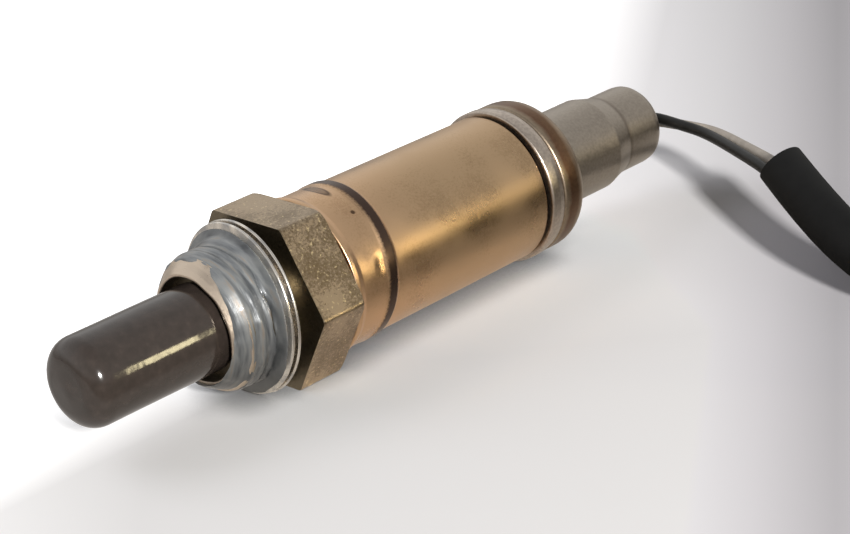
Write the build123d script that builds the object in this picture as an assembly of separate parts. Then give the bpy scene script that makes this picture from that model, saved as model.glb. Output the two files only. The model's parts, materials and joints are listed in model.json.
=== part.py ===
from build123d import *
import math
import os

# A two-wire exhaust oxygen sensor, lying on a flat of its wrench hex, with its lead.
# Row frame: X runs along the sensor's axis from the tip to the lead, Z is up, and the surface
# that it lies on is Z = 0. Stations are distances along the axis from the hex's front face,
# positive towards the lead. All lengths are in millimetres.
os.makedirs("parts", exist_ok=True)

# Driving dimensions of the shell
HEX_AF = 22.0            # across the flats
HEX_LENGTH = 7.1
HEX_CHAMFER = 0.45
THREAD_R = 9.0           # major radius of the M18 x 1.5 thread
THREAD_START = -8.4
THREAD_END = -4.75
NECK_R = 7.8             # undercut between the thread and the hex
NOSE_START = -10.4
NOSE_R = 7.5
NOSE_RECESS_R = 6.9
NOSE_RECESS_END = -7.9
TUBE_PASSAGE_R = 5.1
SEAT_STATION = -3.0      # shoulder that carries the protection tubes' flanges
CHAMBER_R = 7.0
SPIGOT_R = 10.05
SPIGOT_END = 17.0

# Overall reach, which sets the frame's origin under the middle of the sensor
TIP_END = -30.3
REAR_END = 74.5
HEX_X = -(TIP_END + REAR_END) / 2
AXIS_Z = HEX_AF / 2
RUNNING_GAP = 0.05

# Protection tubes and the cap over them
OUTER_TUBE_R, OUTER_TUBE_WALL, OUTER_TUBE_END = 4.9, 0.5, -28.4
INNER_TUBE_R, INNER_TUBE_WALL, INNER_TUBE_END = 3.95, 0.35, -25.8
TUBE_FLANGE_R = 6.9
OUTER_FLANGE, INNER_FLANGE = 0.5, 0.35
GAS_SLOTS, GAS_SLOT_WIDTH, GAS_SLOT_LENGTH = 8, 1.3, 5.0
GAS_HOLES, GAS_HOLE_R = 6, 0.6
CAP_R, CAP_CORNER, CAP_DOME, CAP_MOUTH = 5.85, 3.3, 0.4, -8.8
CAP_INNER_END, CAP_INNER_CORNER = -28.7, 2.2

# Sealing stack in the shell's chamber
SEAL_RING = 0.5
THIMBLE_FLANGE = 3.8
THIMBLE_R, THIMBLE_TIP_R, THIMBLE_BORE_R, THIMBLE_TIP = 3.2, 2.75, 1.75, -24.5
THIMBLE_BOSS_R, THIMBLE_END = 4.6, 5.2
PACKING_LENGTH = 4.0
SUPPORT_R, SUPPORT_BORE_R, SUPPORT_END = 6.85, 2.3, 27.0
SIGNAL_ROD_R, SIGNAL_ROD_START, SIGNAL_ROD_END = 1.0, 1.5, 36.9

# Sleeve, band and rear cover
SLEEVE_R, SLEEVE_FRONT_R, SLEEVE_WAIST_R = 10.45, 10.63, 10.36
SLEEVE_LIP_R, SLEEVE_START, SLEEVE_END = 10.95, 7.5, 43.5
SLEEVE_BORE_FRONT, SLEEVE_BORE_REAR = 10.08, 9.92
BEAD_R, BEAD_START, BEAD_END = 10.8, 13.9, 16.1
BAND_R, BAND_START, BAND_END, BAND_BORE = 10.96, 44.35, 46.55, 9.88
COVER_SPIGOT_R, COVER_SPIGOT_START = 9.85, 35.0
COVER_RING_R, COVER_RING_START, COVER_RING_END, COVER_SHOULDER = 10.86, 46.9, 52.0, 2.5
COVER_WALL = 0.5
COVER_TUBE_R, COVER_STEP_START, COVER_STEP_END = 6.8, 63.7, 66.7
COVER_END_R, COVER_END_ROUND = 5.92, 2.0
GASKET_R, GASKET_FRONT_R, GASKET_BORE = 11.35, 11.2, 8.65
GASKET_THICK, GASKET_SHEET, GASKET_BACK = 1.25, 0.4, -2.6
GASKET_SIDE, GASKET_UP, GASKET_TILT = -0.6, 0.4, 2.9   # it leans loosely on the surface

# Terminals, wires and grommet
BLOCK_R, BLOCK_START, BLOCK_END = 9.3, 37.6, 47.0
BARREL_R, BARREL_START, BARREL_END = 1.3, 40.0, 47.3
BARREL_Y, BARREL_Z = 2.4, 1.2          # the black wire's place is -Y and +Z, the grey one's +Y and -Z
FOOT_START, FOOT_END = 36.9, 37.4
GROUND_RING_BORE, GROUND_RING_START, GROUND_RING_END = 8.8, 36.4, 37.4
WIRE_D, WIRE_Y, WIRE_Z = 1.6, 1.05, 0.6
GROMMET_START, GROMMET_GAP = 54.4, 0.05

# Lead: a sleeve over the wires, a tied coil of one and a quarter turns, a plug lying on it
LEAD_D = 6.6
LEAD_MOUTH = (47.27, -30.3, 11.9)
LEAD_MOUTH_R, LEAD_MOUTH_DEPTH = 2.9, 8.5
LEAD_CUT_NORMAL = (0.125, 0.785, 0.607)   # the mouth is cut about 20 degrees off square
COIL_R, COIL_X, COIL_Y = 30.8, 67.49, -84.58
TIE_ANGLE, TIE_WIDTH, TIE_THICK = 179.0, 3.6, 0.8
PLUG_Y, PLUG_BACK_X, PLUG_FRONT_X = -107.7, 67.6, 101.6
PLUG_WIDTH, PLUG_HEIGHT, PLUG_WALL = 18.0, 14.0, 1.8
PLUG_Z = LEAD_D + PLUG_HEIGHT / 2
SHROUD_DEPTH, REAR_POCKET = 14.0, 11.0
PIN_SIDE, PIN_Y = 1.5, 3.0

# The lead's and the wires' routes, chosen by hand
LEAD_ROUTE = [
    (47.73, -29.24, 12.38),
    (43.1, -39.8, 7.6),
    (39.6, -50.2, 3.5),
    (40.2, -58.4, 3.3),
    (41.3, -66.5, 3.3),
    (38.55, -74.05, 3.3),
]
LEAD_END_ROUTE = [
    (72.82, -54.27, 3.3),
    (61.0, -54.0, 4.9),
    (50.0, -58.6, 7.8),
    (42.3, -65.9, 10.1),
    (36.9, -78.1, 9.9),
    (36.65, -90.0, 9.9),
    (40.6, -100.1, 10.9),
    (48.7, -106.7, 12.6),
    (57.0, -107.7, 13.6),
    (65.05, -107.7, 13.6),
]
WIRE_ROUTES = {
    "wire_black": [(23.0, -2.4, 12.2), (25.8, -2.4, 12.2), (30.2, -1.05, 11.6),
                   (54.4, -1.05, 11.6), (54.9, -7.1, 10.9), (54.9, -11.5, 10.5),
                   (50.3, -20.8, 10.9), (46.2, -29.35, 10.9), (43.4, -35.7, 8.0)],
    "wire_grey": [(23.0, 2.4, 9.8), (25.8, 2.4, 9.8), (30.2, 1.05, 10.4),
                  (55.4, 1.05, 10.4), (57.1, -7.4, 9.3), (57.2, -11.7, 9.1),
                  (52.5, -21.2, 10.2), (47.55, -30.2, 11.5), (44.75, -36.55, 8.6)],
}


def x_at(station):
    """Row X of a station along the sensor's axis."""
    return HEX_X + station


def turned(outline, rounds=()):
    """Body turned about the sensor's axis from (station, radius) points.

    rounds holds (point's index, radius) pairs for its rounded corners."""
    corners = [Vector(x_at(s), 0, r) for s, r in outline]
    face = make_face(Polyline(*corners, close=True))
    for index, radius in rounds:
        corner = min(face.vertices(), key=lambda v: (Vector(v) - corners[index]).length)
        face = fillet(corner, radius)
    return Pos(0, 0, AXIS_Z) * revolve(face, Axis.X)


def rod(start, end, radius, y=0.0, z=0.0):
    """Cylinder along the sensor's axis between two stations, off the axis by y and z."""
    body = Cylinder(radius, end - start, align=(Align.CENTER, Align.CENTER, Align.MIN))
    return Pos(x_at(start), y, AXIS_Z + z) * Rot(0, 90, 0) * body


def around_axis(count, cutter):
    """Copies of a cutter spaced evenly about the sensor's axis."""
    axis = Axis((0, 0, AXIS_Z), (1, 0, 0))
    return [cutter.rotate(axis, 360 * k / count) for k in range(count)]


def make_tip_cap():
    """Dipped vinyl cap, pushed over the protection tube and pulled off before fitting."""
    shoulder = TIP_END + CAP_DOME
    inner_r = OUTER_TUBE_R + RUNNING_GAP
    outline = [(TIP_END, 0), (TIP_END + 0.02, 0.6), (shoulder - 0.1, CAP_R - CAP_CORNER),
               (shoulder, CAP_R), (CAP_MOUTH, CAP_R), (CAP_MOUTH, inner_r),
               (CAP_INNER_END, inner_r), (CAP_INNER_END, 0)]
    return turned(outline, [(3, CAP_CORNER - 0.2), (6, CAP_INNER_CORNER), (4, 0.3)])


def make_protection_tube(radius, wall, end, flange_front, flange):
    """Deep-drawn cup, open at the rear, with a flange clamped on the shell's seat."""
    back = flange_front + flange
    outline = [(end, 0), (end, radius), (flange_front, radius), (flange_front, TUBE_FLANGE_R),
               (back, TUBE_FLANGE_R), (back, radius - wall), (end + wall, radius - wall),
               (end + wall, 0)]
    return turned(outline, [(1, radius / 2), (6, radius / 2 - wall)])


def make_outer_protection_tube():
    """Outer tube with lengthwise gas slots near its tip."""
    tube = make_protection_tube(OUTER_TUBE_R, OUTER_TUBE_WALL, OUTER_TUBE_END,
                                SEAT_STATION, OUTER_FLANGE)
    middle = OUTER_TUBE_END + 4.5 + GAS_SLOT_LENGTH / 2
    slot = Pos(x_at(middle), 0, AXIS_Z + OUTER_TUBE_R) * Box(GAS_SLOT_LENGTH, GAS_SLOT_WIDTH, 3)
    for cutter in around_axis(GAS_SLOTS, slot):
        tube = tube - cutter
    return tube


def make_inner_protection_tube():
    """Inner tube with round gas holes, set back from the outer tube's slots."""
    tube = make_protection_tube(INNER_TUBE_R, INNER_TUBE_WALL, INNER_TUBE_END,
                                SEAT_STATION + OUTER_FLANGE, INNER_FLANGE)
    hole = Pos(x_at(-12.5), 0, AXIS_Z + INNER_TUBE_R) * Cylinder(GAS_HOLE_R, 2)
    for cutter in around_axis(GAS_HOLES, hole):
        tube = tube - cutter
    return tube


def make_shell():
    """Turned steel shell: rounded nose, thread shank, neck, wrench hex and rear spigot."""
    turned_part = turned([
        (NOSE_START, NOSE_RECESS_R), (NOSE_START, NOSE_R), (-9.8, 8.05), (-9.0, 8.5),
        (THREAD_START, THREAD_R), (THREAD_END, THREAD_R), (THREAD_END + 0.4, NECK_R),
        (0, NECK_R), (0, SPIGOT_R), (SPIGOT_END, SPIGOT_R), (SPIGOT_END, CHAMBER_R),
        (SEAT_STATION, CHAMBER_R), (SEAT_STATION, TUBE_PASSAGE_R),
        (NOSE_RECESS_END, TUBE_PASSAGE_R), (NOSE_RECESS_END, NOSE_RECESS_R),
    ], [(1, 0.25), (2, 0.6), (3, 1.5)])
    prism = extrude(Plane.YZ * RegularPolygon(HEX_AF / 2, 6, major_radius=False, rotation=0),
                    HEX_LENGTH)
    prism = Pos(x_at(0), 0, AXIS_Z) * prism
    corner_r = HEX_AF / 2 / math.cos(math.pi / 6)
    envelope = turned([
        (0, SPIGOT_R - 1), (0, corner_r - 0.35), (0.25, corner_r + 0.05),
        (HEX_LENGTH - HEX_CHAMFER / 2, corner_r + 0.05),
        (HEX_LENGTH, corner_r - HEX_CHAMFER), (HEX_LENGTH, SPIGOT_R - 1),
    ])
    return turned_part + (prism & envelope)


def make_gasket():
    """Folded sheet-metal gasket, held captive on the neck and loose on it."""
    leaf, front = GASKET_SHEET, -GASKET_THICK
    outline = [(front, GASKET_BORE), (front, GASKET_FRONT_R), (front + leaf, GASKET_FRONT_R),
               (front + leaf, GASKET_BORE + leaf), (-leaf, GASKET_BORE + leaf),
               (-leaf, GASKET_R), (0, GASKET_R), (0, GASKET_BORE)]
    ring = Pos(-x_at(0), 0, -AXIS_Z) * turned(outline, [(0, 0.3), (7, 0.3)])
    leaning = Rot(0, GASKET_TILT, 0) * ring
    return Pos(x_at(GASKET_BACK), GASKET_SIDE, AXIS_Z + GASKET_UP) * leaning


def make_seal_ring():
    """Flat ring between the protection tubes' flanges and the sensing thimble."""
    front = SEAT_STATION + OUTER_FLANGE + INNER_FLANGE
    return turned([(front, 4.6), (front, TUBE_FLANGE_R), (front + SEAL_RING, TUBE_FLANGE_R),
                   (front + SEAL_RING, 4.6)])


def make_thimble():
    """Closed-ended zirconia thimble with a clamping flange."""
    flange = SEAT_STATION + OUTER_FLANGE + INNER_FLANGE + SEAL_RING
    outline = [(THIMBLE_TIP, 0), (THIMBLE_TIP, THIMBLE_TIP_R), (flange - 0.5, THIMBLE_R),
               (flange, 4.0), (flange, 6.6), (flange + THIMBLE_FLANGE, 6.6),
               (flange + THIMBLE_FLANGE, THIMBLE_BOSS_R), (THIMBLE_END, THIMBLE_BOSS_R),
               (THIMBLE_END, 2.6), (flange + 1.5, 2.6), (flange, THIMBLE_BORE_R),
               (THIMBLE_TIP + 1.1, THIMBLE_BORE_R), (THIMBLE_TIP + 1.1, 0)]
    return turned(outline, [(1, THIMBLE_TIP_R - 0.15), (11, THIMBLE_BORE_R - 0.15)])


def make_packing():
    """Pressed powder packing behind the thimble's flange."""
    start = SEAT_STATION + OUTER_FLANGE + INNER_FLANGE + SEAL_RING + THIMBLE_FLANGE
    return turned([(start, THIMBLE_BOSS_R + 0.05), (start, CHAMBER_R - 0.02),
                   (start + PACKING_LENGTH, CHAMBER_R - 0.02),
                   (start + PACKING_LENGTH, THIMBLE_BOSS_R + 0.05)])


def make_ceramic_support():
    """Stepped ceramic tube that presses the packing down and carries the contact."""
    start = (SEAT_STATION + OUTER_FLANGE + INNER_FLANGE + SEAL_RING + THIMBLE_FLANGE
             + PACKING_LENGTH)
    return turned([(start, THIMBLE_BOSS_R + 0.1), (start, SUPPORT_R), (SUPPORT_END, SUPPORT_R),
                   (SUPPORT_END, SUPPORT_BORE_R), (THIMBLE_END + 1.6, SUPPORT_BORE_R),
                   (THIMBLE_END + 1.6, THIMBLE_BOSS_R + 0.1)], [(2, 0.6)])


def make_contact_bush():
    """Bush that touches the thimble's inner electrode, with a collar behind it."""
    return turned([(0.6, SIGNAL_ROD_R), (0.6, 2.5), (THIMBLE_END, 2.5), (THIMBLE_END, 4.3),
                   (THIMBLE_END + 0.5, 4.3), (THIMBLE_END + 0.5, SIGNAL_ROD_R)])


def make_signal_rod():
    """Rod that carries the signal from the contact bush to the black wire's terminal."""
    return rod(SIGNAL_ROD_START, SIGNAL_ROD_END, SIGNAL_ROD_R)


def make_disc_spring():
    """Dished washer that keeps the stack pressed together."""
    lift, sheet, inner, outer = 1.0, 0.6, 2.8, 9.0
    return turned([(SUPPORT_END + lift, inner), (SUPPORT_END + lift + sheet, inner),
                   (SUPPORT_END + sheet + 0.05, outer), (SUPPORT_END + 0.05, outer)])


def make_spring_cup():
    """Pressed cup, fixed in the protective sleeve, that the dished washer pushes against."""
    front = SUPPORT_END + 1.7
    return turned([(front, 2.8), (front, SLEEVE_BORE_REAR - 0.02),
                   (front + 4.0, SLEEVE_BORE_REAR - 0.02), (front + 4.0, 9.4),
                   (front + 0.6, 9.4), (front + 0.6, 2.8)], [(1, 0.8)])


def make_terminal_block():
    """Ceramic block with a bore for each of the two terminals."""
    block = rod(BLOCK_START, BLOCK_END, BLOCK_R)
    for side in (-1, 1):
        block = block - rod(BLOCK_START - 1, BLOCK_END + 1, BARREL_R + 0.05,
                            side * BARREL_Y, -side * BARREL_Z)
    return block


def make_terminal(side, foot_from, foot_to):
    """Crimp barrel on one side, with a strip and a foot that reaches between two radii."""
    y, z = side * BARREL_Y, -side * BARREL_Z
    barrel = rod(BARREL_START, BARREL_END, BARREL_R, y, z)
    barrel = barrel - rod(45.0, BARREL_END + 1, WIRE_D / 2 + 0.02, y, z)
    axis = Axis((0, 0, AXIS_Z), (1, 0, 0))
    turn = math.degrees(math.atan2(z, y))
    reach = math.hypot(y, z)
    strip = Pos(x_at((FOOT_START + BARREL_START) / 2), reach, AXIS_Z)
    strip = strip * Box(BARREL_START - FOOT_START, 0.4, 1.5)
    foot = Pos(x_at((FOOT_START + FOOT_END) / 2), (foot_from + foot_to) / 2, AXIS_Z)
    foot = foot * Box(FOOT_END - FOOT_START, foot_to - foot_from, 1.5)
    return barrel + (strip + foot).rotate(axis, turn)


def make_ground_ring():
    """Spring ring that earths the grey wire's terminal to the rear cover."""
    outer = COVER_SPIGOT_R - COVER_WALL
    return turned([(GROUND_RING_START, GROUND_RING_BORE), (GROUND_RING_START, outer),
                   (GROUND_RING_END, outer), (GROUND_RING_END, GROUND_RING_BORE)])


def make_spacer_sleeve():
    """Sleeve that keeps the terminal block forward of the rear cover's shoulder."""
    end = COVER_RING_END - COVER_WALL - 0.02
    return turned([(BLOCK_END, 7.5), (BLOCK_END, 8.3), (end, 8.3), (end, 7.5)])


def make_protective_sleeve():
    """Drawn sleeve, flared at the hex and welded all round to the shell's spigot."""
    return turned([
        (SLEEVE_START, SLEEVE_BORE_FRONT), (SLEEVE_START, SLEEVE_LIP_R), (8.2, SLEEVE_LIP_R),
        (8.9, SLEEVE_FRONT_R), (BEAD_START, SLEEVE_FRONT_R), (BEAD_START + 0.5, BEAD_R),
        (BEAD_END - 0.5, BEAD_R), (BEAD_END + 0.7, SLEEVE_R), (SLEEVE_END - 2.5, SLEEVE_WAIST_R),
        (SLEEVE_END - 0.7, SLEEVE_R + 0.05), (SLEEVE_END, SLEEVE_R),
        (SLEEVE_END, SLEEVE_BORE_REAR), (SPIGOT_END + 0.6, SLEEVE_BORE_REAR),
        (SPIGOT_END + 0.2, SLEEVE_BORE_FRONT),
    ], [(1, 0.25), (5, 0.4), (6, 0.4)])


def make_retaining_band():
    """Band that closes the joint between the protective sleeve and the rear cover."""
    return turned([(BAND_START, BAND_BORE), (BAND_START, BAND_R - 0.1), (BAND_START + 0.2, BAND_R),
                   (BAND_END - 0.7, BAND_R), (BAND_END, BAND_R - 0.28), (BAND_END, BAND_BORE)])


def make_rear_cover():
    """Drawn cover: spigot, shoulder ring and the stepped tube that is crimped on the grommet."""
    wall, ring, shoulder = COVER_WALL, COVER_RING_R, COVER_RING_END
    outline = [
        (COVER_SPIGOT_START, COVER_SPIGOT_R - wall), (COVER_SPIGOT_START, COVER_SPIGOT_R),
        (COVER_RING_START, COVER_SPIGOT_R), (COVER_RING_START, ring), (shoulder, ring),
        (shoulder, COVER_TUBE_R), (COVER_STEP_START, COVER_TUBE_R),
        (COVER_STEP_END, COVER_END_R), (REAR_END, COVER_END_R),
        (REAR_END, COVER_END_R - COVER_END_ROUND), (REAR_END - wall, COVER_END_R - COVER_END_ROUND),
        (REAR_END - wall, COVER_END_R - wall), (COVER_STEP_END, COVER_END_R - wall),
        (COVER_STEP_START, COVER_TUBE_R - wall), (shoulder - wall, COVER_TUBE_R - wall),
        (shoulder - wall, ring - wall), (COVER_RING_START + wall, ring - wall),
        (COVER_RING_START + wall, COVER_SPIGOT_R - wall),
    ]
    return turned(outline, [(4, COVER_SHOULDER), (15, COVER_SHOULDER - wall), (3, 0.5),
                            (5, 0.5), (8, COVER_END_ROUND - 0.02),
                            (11, COVER_END_ROUND - wall - 0.02)])


def make_grommet():
    """Moulded plug in the cover's tube, with a hole for each wire."""
    gap, wall = GROMMET_GAP, COVER_WALL
    front_r, rear_r = COVER_TUBE_R - wall - gap, COVER_END_R - wall - gap
    end = REAR_END - wall - gap
    plug = turned([(GROMMET_START, 0), (GROMMET_START, front_r), (COVER_STEP_START, front_r),
                   (COVER_STEP_END, rear_r), (end, rear_r), (end, 0)],
                  [(1, 0.6), (4, COVER_END_ROUND - wall)])
    for side in (-1, 1):
        plug = plug - rod(GROMMET_START - 1, REAR_END + 1, WIRE_D / 2 + 0.05,
                          side * WIRE_Y, -side * WIRE_Z)
    return plug


def corner_radii(route):
    """Arc radius for each inner corner of a route, as large as its two runs allow."""
    points = [Vector(*p) for p in route]
    radii = []
    for before, corner, after in zip(points, points[1:], points[2:]):
        half_turn = math.radians((corner - before).get_angle(after - corner)) / 2
        shorter = min((corner - before).length, (after - corner).length)
        radii.append(0.45 * shorter / math.tan(half_turn))
    return radii


def make_cord(name, route, diameter):
    """Round cord along straight runs joined by tangent arcs."""
    radii = corner_radii(route)
    print(name, "arc radii", [round(r, 1) for r in radii])
    path = FilletPolyline(*route, radius=radii)
    start = Plane(origin=path @ 0, z_dir=path % 0)
    body = sweep(start * Circle(diameter / 2), path=path)
    share = body.volume / (math.pi * diameter ** 2 / 4 * path.length)
    print(name, "length", round(path.length, 1), "volume share", round(share, 3))
    return body


def make_coil():
    """Outer shape of the coil's full turn: a ring one lead wide and one lead high."""
    height, half = LEAD_D, LEAD_D / 2
    bottom = (Align.CENTER, Align.CENTER, Align.MIN)
    ring = Cylinder(COIL_R + half, height, align=bottom) - Cylinder(COIL_R - half, height,
                                                                    align=bottom)
    groove = Box(LEAD_D + 2, TIE_WIDTH, 2 * TIE_THICK)
    return Pos(COIL_X, COIL_Y, 0) * (ring - Rot(0, 0, TIE_ANGLE) * Pos(COIL_R, 0, 0) * groove)


def make_coil_tie():
    """Flat tie round the full turn and the lead on top of it, with its head outside."""
    height, gap = 2 * LEAD_D, 0.15
    low = (Align.CENTER, Align.CENTER, Align.MIN)
    loop = Box(LEAD_D + 2 * (TIE_THICK + gap), TIE_WIDTH, height + TIE_THICK + gap, align=low)
    inside = Pos(0, 0, TIE_THICK) * Box(LEAD_D + 2 * gap, TIE_WIDTH + 1, height - TIE_THICK + gap,
                                        align=low)
    head = Pos(LEAD_D / 2 + gap + 1.6, 0, height / 2) * Box(3.2, TIE_WIDTH + 1.6, 4.4)
    band = fillet((loop - inside).edges().filter_by(Axis.Y).group_by(Axis.Z)[-1], 0.4)
    tie = band + (head - Box(LEAD_D + 2 * gap, 9, 30))
    return Pos(COIL_X, COIL_Y, 0) * Rot(0, 0, TIE_ANGLE) * Pos(COIL_R, 0, 0) * tie


def plug_box(x0, x1, width, height, up=0.0):
    """Block between two X places, centred on the plug's axis, raised by up."""
    return Pos((x0 + x1) / 2, PLUG_Y, PLUG_Z + up) * Box(x1 - x0, width, height)


def make_plug_housing():
    """Moulded plug housing: an open shroud in front, a pocket for the seal behind."""
    back, front = PLUG_BACK_X, PLUG_FRONT_X
    body = plug_box(back, front, PLUG_WIDTH, PLUG_HEIGHT)
    body = fillet(body.edges().filter_by(Axis.X), 2.2)
    inner_w, inner_h = PLUG_WIDTH - 2 * PLUG_WALL, PLUG_HEIGHT - 2 * PLUG_WALL
    body = body - plug_box(front - SHROUD_DEPTH, front + 1, inner_w, inner_h)
    body = body - plug_box(back - 1, back + REAR_POCKET, inner_w, inner_h)
    collar = plug_box(back + 9, back + 11.5, PLUG_WIDTH + 2.0, PLUG_HEIGHT - 4)
    body = body + (collar - plug_box(back + 8, back + 13, PLUG_WIDTH - 1, PLUG_HEIGHT + 4))
    for y in (-3.5, 3.5):
        body = body + Pos(0, y, 0) * plug_box(front - 12, front - 2, 1.6, 1.2,
                                              PLUG_HEIGHT / 2 + 0.5)
    for side in (-1, 1):
        hole = plug_box(back + REAR_POCKET - 1, front - SHROUD_DEPTH + 1,
                        PIN_SIDE + 0.1, PIN_SIDE + 0.1)
        body = body - Pos(0, side * PIN_Y, 0) * hole
    return body


def make_pin(side):
    """Square contact pin with a tapered end."""
    start, end = PLUG_BACK_X + REAR_POCKET - 0.8, PLUG_FRONT_X - SHROUD_DEPTH + 7.0
    pin = Pos(0, side * PIN_Y, 0) * plug_box(start, end, PIN_SIDE, PIN_SIDE)
    return chamfer(pin.faces().sort_by(Axis.X)[-1].edges(), 0.35)


def make_plug_seal():
    """Soft seal block in the housing's rear pocket, with three sealing ribs."""
    start, end = PLUG_BACK_X + 1.5, PLUG_BACK_X + REAR_POCKET - 1.0
    inner_w, inner_h = PLUG_WIDTH - 2 * PLUG_WALL, PLUG_HEIGHT - 2 * PLUG_WALL
    seal = plug_box(start, end, inner_w - 1.2, inner_h - 1.2)
    for k in range(3):
        x = start + 1.3 + 2.7 * k
        seal = seal + plug_box(x, x + 1.0, inner_w - 0.1, inner_h - 0.1)
    return seal


def make_plug_boot():
    """Rear boot that closes the housing and grips the end of the lead."""
    back = PLUG_BACK_X
    flange = plug_box(back - 1.6, back, PLUG_WIDTH - 1.0, PLUG_HEIGHT - 1.0)
    flange = fillet(flange.edges().filter_by(Axis.X), 2.0)
    tenon = plug_box(back, back + 1.4, PLUG_WIDTH - 2 * PLUG_WALL - 0.2,
                     PLUG_HEIGHT - 2 * PLUG_WALL - 0.2)
    neck = Cone(4.9, 4.2, 5.0, align=(Align.CENTER, Align.CENTER, Align.MIN))
    neck = Pos(back - 1.6, PLUG_Y, PLUG_Z) * Rot(0, -90, 0) * neck
    bore = Cylinder(LEAD_D / 2 + 0.02, 5.0, align=(Align.CENTER, Align.CENTER, Align.MIN))
    bore = Pos(back - 2.5, PLUG_Y, PLUG_Z) * Rot(0, -90, 0) * bore
    return flange + tenon + neck - bore


def make_plug_lock():
    """Sliding lock that is pushed in across the housing once the pins are seated."""
    plate_z = PLUG_HEIGHT / 2 + 0.75
    plate = plug_box(PLUG_BACK_X + 13.5, PLUG_BACK_X + 19.5, PLUG_WIDTH - 5, 1.4, plate_z)
    rib = plug_box(PLUG_BACK_X + 15.5, PLUG_BACK_X + 17.5, PLUG_WIDTH - 9, 0.8, plate_z + 1.0)
    return fillet(plate.edges().filter_by(Axis.Z), 1.0) + rib


nodes = {
    "tip_cap": make_tip_cap(),
    "outer_protection_tube": make_outer_protection_tube(),
    "inner_protection_tube": make_inner_protection_tube(),
    "shell": make_shell(),
    "gasket": make_gasket(),
    "seal_ring": make_seal_ring(),
    "sensing_thimble": make_thimble(),
    "powder_packing": make_packing(),
    "ceramic_support": make_ceramic_support(),
    "contact_bush": make_contact_bush(),
    "signal_rod": make_signal_rod(),
    "disc_spring": make_disc_spring(),
    "spring_cup": make_spring_cup(),
    "ground_ring": make_ground_ring(),
    "terminal_block": make_terminal_block(),
    "terminal_black": make_terminal(-1, -0.9, 3.0),
    "terminal_grey": make_terminal(1, 2.3, GROUND_RING_BORE - 0.05),
    "spacer_sleeve": make_spacer_sleeve(),
    "protective_sleeve": make_protective_sleeve(),
    "retaining_band": make_retaining_band(),
    "rear_cover": make_rear_cover(),
    "grommet": make_grommet(),
    "lead_coil": make_coil(),
    "coil_tie": make_coil_tie(),
    "plug_housing": make_plug_housing(),
    "plug_seal": make_plug_seal(),
    "plug_boot": make_plug_boot(),
    "plug_lock": make_plug_lock(),
}
for name, side in (("plug_pin_1", -1), ("plug_pin_2", 1)):
    nodes[name] = make_pin(side)
for wire, wire_route in WIRE_ROUTES.items():
    nodes[wire] = make_cord(wire, wire_route, WIRE_D)

sleeve_axis = Vector(*LEAD_ROUTE[1]) - Vector(*LEAD_ROUTE[0])
mouth_bore = Plane(origin=LEAD_MOUTH, z_dir=sleeve_axis) * Cylinder(LEAD_MOUTH_R,
                                                                    2 * LEAD_MOUTH_DEPTH)
off_cut = Plane(origin=LEAD_MOUTH, z_dir=LEAD_CUT_NORMAL) * Box(
    20, 20, 10, align=(Align.CENTER, Align.CENTER, Align.MIN))
lead = make_cord("lead_sleeve", LEAD_ROUTE, LEAD_D) - mouth_bore - off_cut
nodes["lead_sleeve"] = (lead - nodes["lead_coil"]).solids().sort_by(SortBy.VOLUME)[-1]
rising_end = make_cord("lead_end", LEAD_END_ROUTE, LEAD_D) - nodes["lead_coil"]
nodes["lead_end"] = rising_end.solids().sort_by(SortBy.VOLUME)[-1]

for node, solid in nodes.items():
    export_step(solid, f"parts/{node}.step")
print(len(nodes), "nodes")
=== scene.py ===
# %% [markdown]
# An exhaust oxygen sensor, dressed for its picture.
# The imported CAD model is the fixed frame: every piece below is made in the same place and
# in the same metres, so nothing has to be fitted. The first cell loads it and keeps its box.

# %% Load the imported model
import json
import math

import bmesh
import bpy
from mathutils import Matrix, Vector, noise

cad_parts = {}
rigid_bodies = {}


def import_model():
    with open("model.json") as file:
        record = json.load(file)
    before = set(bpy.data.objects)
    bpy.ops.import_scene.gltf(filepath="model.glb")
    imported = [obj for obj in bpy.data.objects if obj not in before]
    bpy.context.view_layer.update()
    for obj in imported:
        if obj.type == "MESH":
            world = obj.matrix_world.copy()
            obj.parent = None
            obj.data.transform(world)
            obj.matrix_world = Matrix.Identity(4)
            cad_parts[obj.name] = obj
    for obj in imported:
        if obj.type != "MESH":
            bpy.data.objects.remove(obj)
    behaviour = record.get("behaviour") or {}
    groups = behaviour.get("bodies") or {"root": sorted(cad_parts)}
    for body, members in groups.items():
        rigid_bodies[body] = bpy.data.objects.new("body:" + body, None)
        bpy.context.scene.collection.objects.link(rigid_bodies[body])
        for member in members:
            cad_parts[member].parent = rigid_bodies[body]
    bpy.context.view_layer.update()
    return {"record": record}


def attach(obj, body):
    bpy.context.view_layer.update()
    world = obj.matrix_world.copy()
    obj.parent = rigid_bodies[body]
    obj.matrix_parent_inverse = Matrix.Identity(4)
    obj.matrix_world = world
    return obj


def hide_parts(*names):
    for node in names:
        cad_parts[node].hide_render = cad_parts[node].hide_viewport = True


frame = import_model()
MM = 0.001

# %% [markdown]
# Most of the sensor is turned about one axis, which lies 11 mm above the table because the
# part rests on a flat of its 22 mm hex. Stations are distances in millimetres along that
# axis from the hex's front face, so the numbers here read like a turner's drawing.

# %% The sensor's axis and its stations
HEX_ACROSS_FLATS = 22.0
AXIS_HEIGHT = HEX_ACROSS_FLATS / 2
HEX_FRONT = -22.1


def at(station, y=0.0, z=AXIS_HEIGHT):
    """Point in metres at a station along the axis, with y and z in millimetres."""
    return Vector((HEX_FRONT + station, y, z)) * MM


print("hex front face at", at(0))

# %% [markdown]
# The camera comes first, because it decides which part of the lead may be out of sight. It
# was matched to the photograph by the hex, the rings and the tubes: a long lens, held
# low and to the front left, looking along the sensor towards its wires.

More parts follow.
